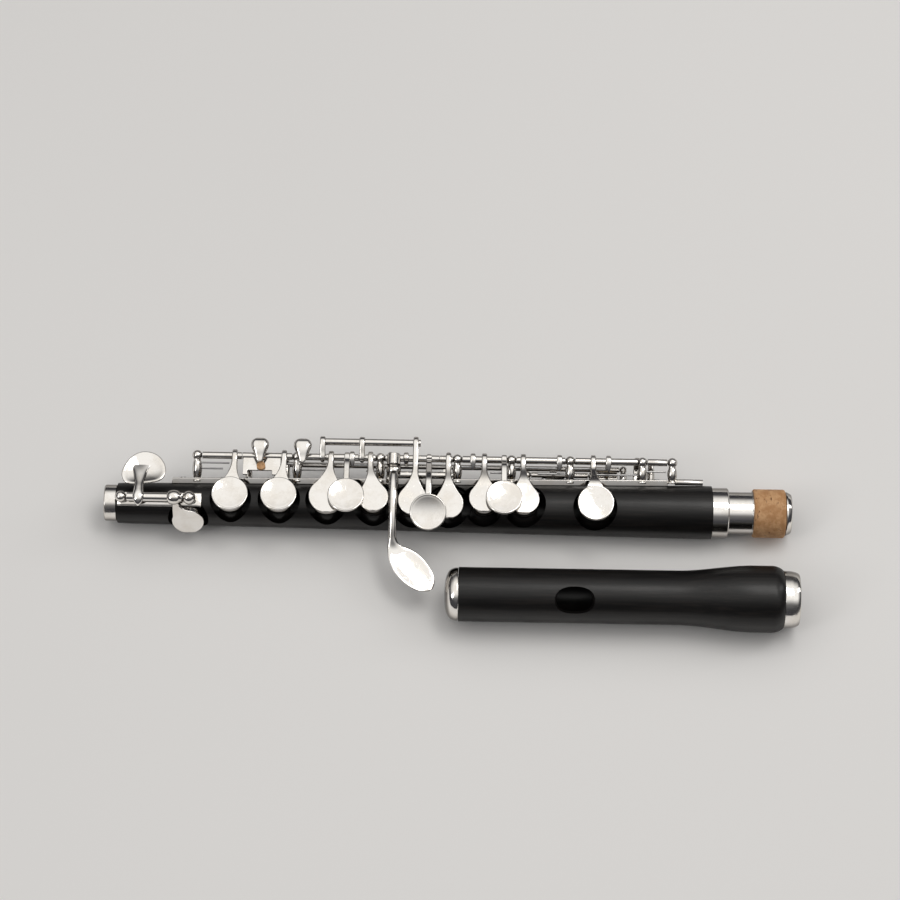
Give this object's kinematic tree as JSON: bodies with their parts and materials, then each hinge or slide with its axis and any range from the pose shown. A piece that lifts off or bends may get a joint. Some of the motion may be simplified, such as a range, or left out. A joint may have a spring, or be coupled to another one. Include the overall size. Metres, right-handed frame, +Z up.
{
  "type": "piccolo",
  "caption": "Wooden piccolo in two joints: keyed body joint with silver-plated keys, and its head joint lying beside it.",
  "frame": {"origin": "centre of the bounding box on the surface that the joints lie on", "axes": "+X along the body joint from its foot to its tenon, +Y towards the key rods, +Z up"},
  "size_m": [0.2172, 0.0608, 0.0233],
  "materials": {
    "grenadilla": "satin",
    "silver_plate": "polished",
    "spring_steel": "satin",
    "cork": "matte",
    "pad_skin": "matte"
  },
  "bodies": {
    "body_joint": {"body_tube": "grenadilla", "foot_ring": "silver_plate", "body_ferrule": "silver_plate", "tenon_sleeve": "silver_plate", "tenon_cork": "cork", "tenon_end_ring": "silver_plate", "main_rib": "silver_plate", "rib_screws": "spring_steel", "main_posts": "silver_plate", "main_pivot_rod": "spring_steel", "end_spacer_tube": "silver_plate", "tail_bar": "silver_plate", "needle_springs": "spring_steel", "foot_key_base": "silver_plate", "foot_key_posts": "silver_plate", "foot_key_pivot_rod": "spring_steel", "lever_posts": "silver_plate", "lever_pivot_rod": "spring_steel", "trill_posts": "silver_plate", "trill_pivot_rods": "spring_steel", "thumb_posts": "silver_plate", "thumb_pivot_rod": "spring_steel"},
    "d_sharp_key_body": {"d_sharp_key": "silver_plate", "d_sharp_pad": "pad_skin"},
    "d_key_body": {"d_key": "silver_plate", "d_pad": "pad_skin"},
    "e_key_body": {"e_key": "silver_plate", "e_pad": "pad_skin", "e_bumper": "cork"},
    "f_key_body": {"f_key": "silver_plate", "f_pad": "pad_skin"},
    "f_sharp_key_body": {"f_sharp_key": "silver_plate", "f_sharp_pad": "pad_skin"},
    "g_touch_body": {"g_touch": "silver_plate"},
    "g_key_body": {"g_key": "silver_plate", "g_pad": "pad_skin"},
    "g_sharp_lever_body": {"g_sharp_lever": "silver_plate"},
    "g_sharp_key_body": {"g_sharp_key": "silver_plate", "g_sharp_pad": "pad_skin"},
    "a_key_body": {"a_key": "silver_plate", "a_pad": "pad_skin"},
    "b_flat_key_body": {"b_flat_key": "silver_plate", "b_flat_pad": "pad_skin"},
    "c_key_body": {"c_key": "silver_plate", "c_pad": "pad_skin"},
    "thumb_key_body": {"thumb_key": "silver_plate", "thumb_pad": "pad_skin"},
    "trill_key_1_body": {"trill_key_1": "silver_plate", "trill_pad_1": "pad_skin"},
    "trill_key_2_body": {"trill_key_2": "silver_plate", "trill_pad_2": "pad_skin"},
    "head_joint": {"head_tube": "grenadilla", "socket_liner": "silver_plate", "head_ferrule": "silver_plate", "stopper_cork": "cork", "stopper_plate": "silver_plate", "stopper_screw": "spring_steel"},
    "head_crown_body": {"head_crown": "silver_plate"}
  },
  "joints": [
    {"name": "d_sharp_key", "type": "hinge", "parent": "body_joint", "child": "d_sharp_key_body", "pos_m": [-0.0922, 0.00753, 0.01878], "axis": [-1, 0, 0], "range_deg": [0, 12], "stiffness_Nm_per_rad": 0.02, "springref_deg": -17.19},
    {"name": "d_key", "type": "hinge", "parent": "body_joint", "child": "d_key_body", "pos_m": [-0.0719, 0.02342, 0.01615], "axis": [1, 0, 0], "range_deg": [0, 7], "stiffness_Nm_per_rad": 0.02, "springref_deg": -17.19},
    {"name": "e_key", "type": "hinge", "parent": "body_joint", "child": "e_key_body", "pos_m": [-0.0577, 0.02342, 0.01615], "axis": [1, 0, 0], "range_deg": [0, 7], "stiffness_Nm_per_rad": 0.02, "springref_deg": -17.19},
    {"name": "f_key", "type": "hinge", "parent": "body_joint", "child": "f_key_body", "pos_m": [-0.0341, 0.02342, 0.01615], "axis": [1, 0, 0], "range_deg": [0, 7], "stiffness_Nm_per_rad": 0.02, "springref_deg": -17.19},
    {"name": "f_sharp_key", "type": "hinge", "parent": "body_joint", "child": "f_sharp_key_body", "pos_m": [-0.0252, 0.02342, 0.01615], "axis": [1, 0, 0], "range_deg": [0, 7]},
    {"name": "g_touch", "type": "hinge", "parent": "body_joint", "child": "g_touch_body", "pos_m": [-0.0121, 0.02342, 0.01615], "axis": [1, 0, 0], "range_deg": [0, 7], "stiffness_Nm_per_rad": 0.02, "springref_deg": -17.19},
    {"name": "g_key", "type": "hinge", "parent": "body_joint", "child": "g_key_body", "pos_m": [-0.043, 0.02342, 0.01615], "axis": [1, 0, 0], "range_deg": [0, 7]},
    {"name": "g_sharp_lever", "type": "hinge", "parent": "body_joint", "child": "g_sharp_lever_body", "pos_m": [-0.0101, 0.01842, 0.01475], "axis": [1, 0, 0], "range_deg": [0, 8], "stiffness_Nm_per_rad": 0.02, "springref_deg": -17.19},
    {"name": "g_sharp_key", "type": "hinge", "parent": "body_joint", "child": "g_sharp_key_body", "pos_m": [-0.0015, 0.02342, 0.01615], "axis": [-1, 0, 0], "range_deg": [0, 5.5]},
    {"name": "a_key", "type": "hinge", "parent": "body_joint", "child": "a_key_body", "pos_m": [0.0106, 0.02342, 0.01615], "axis": [1, 0, 0], "range_deg": [0, 7], "stiffness_Nm_per_rad": 0.02, "springref_deg": -17.19},
    {"name": "b_flat_key", "type": "hinge", "parent": "body_joint", "child": "b_flat_key_body", "pos_m": [0.0284, 0.02342, 0.01615], "axis": [1, 0, 0], "range_deg": [0, 7]},
    {"name": "c_key", "type": "hinge", "parent": "body_joint", "child": "c_key_body", "pos_m": [0.0489, 0.02342, 0.01615], "axis": [1, 0, 0], "range_deg": [0, 7], "stiffness_Nm_per_rad": 0.02, "springref_deg": -17.19},
    {"name": "thumb_key", "type": "hinge", "parent": "body_joint", "child": "thumb_key_body", "pos_m": [0.0344, 0.02077, 0.01115], "axis": [-1, 0, 0], "range_deg": [0, 14], "stiffness_Nm_per_rad": 0.02, "springref_deg": -17.19},
    {"name": "trill_key_1", "type": "hinge", "parent": "body_joint", "child": "trill_key_1_body", "pos_m": [-0.0046, 0.02362, 0.00965], "axis": [1, 0, 0], "range_deg": [0, 9], "stiffness_Nm_per_rad": 0.02, "springref_deg": -17.19},
    {"name": "trill_key_2", "type": "hinge", "parent": "body_joint", "child": "trill_key_2_body", "pos_m": [0.0067, 0.02492, 0.01255], "axis": [1, 0, 0], "range_deg": [0, 9], "stiffness_Nm_per_rad": 0.02, "springref_deg": -17.19},
    {"name": "head_joint_lift", "type": "slide", "parent": "body_joint", "child": "head_joint", "axis": [0, 0, 1], "range_m": [0, 0.06]},
    {"name": "crown_turn", "type": "hinge", "parent": "head_joint", "child": "head_crown_body", "pos_m": [0.0014, -0.01998, 0.0104], "axis": [1, 0, 0], "range_deg": [-90, 90]}
  ],
  "couplings": [
    {"joint": "f_sharp_key", "follows": "f_key", "ratio": 1},
    {"joint": "g_key", "follows": "g_touch", "ratio": 1},
    {"joint": "g_sharp_key", "follows": "g_sharp_lever", "ratio": 0.6875},
    {"joint": "b_flat_key", "follows": "a_key", "ratio": 1}
  ]
}
